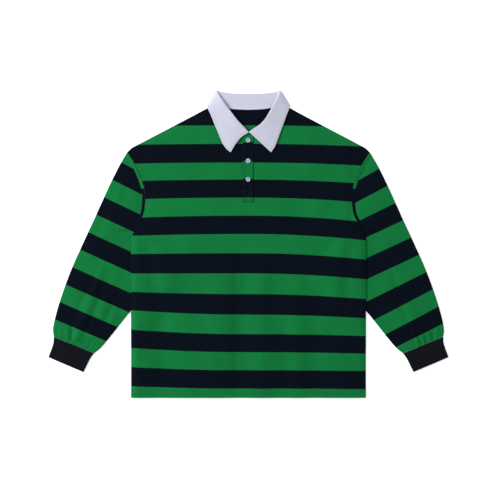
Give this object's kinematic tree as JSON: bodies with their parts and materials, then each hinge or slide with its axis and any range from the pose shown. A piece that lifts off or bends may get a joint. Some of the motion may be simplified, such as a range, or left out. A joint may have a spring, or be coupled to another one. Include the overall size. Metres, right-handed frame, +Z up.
{
  "type": "long-sleeved polo shirt",
  "caption": "Long-sleeved striped polo shirt with a turned-down collar, a buttoned half placket and ribbed cuffs, laid flat on its back.",
  "frame": {"origin": "on the surface the shirt lies on, under the centre of its outline", "axes": "+Z up from the surface, +Y from the hem to the collar, +X to the wearer's left; the shirt lies on its back"},
  "size_m": [1.0218, 0.7832, 0.0149],
  "materials": {
    "striped_jersey": "heavy cotton jersey in even green and navy stripes, matt",
    "collar_twill": "white cotton twill, top-stitched, matt",
    "cuff_rib": "black ribbed knit, folded double, matt",
    "button": "pearly pale plastic, gloss"
  },
  "bodies": {
    "root": {"front_panel": "striped_jersey", "back_panel": "striped_jersey", "sleeve_left": "striped_jersey", "sleeve_right": "striped_jersey", "placket_under": "striped_jersey", "placket_upper": "striped_jersey", "cuff_left": "cuff_rib", "cuff_right": "cuff_rib", "collar": "collar_twill", "button_1": "button", "button_2": "button", "button_3": "button"}
  },
  "joints": []
}
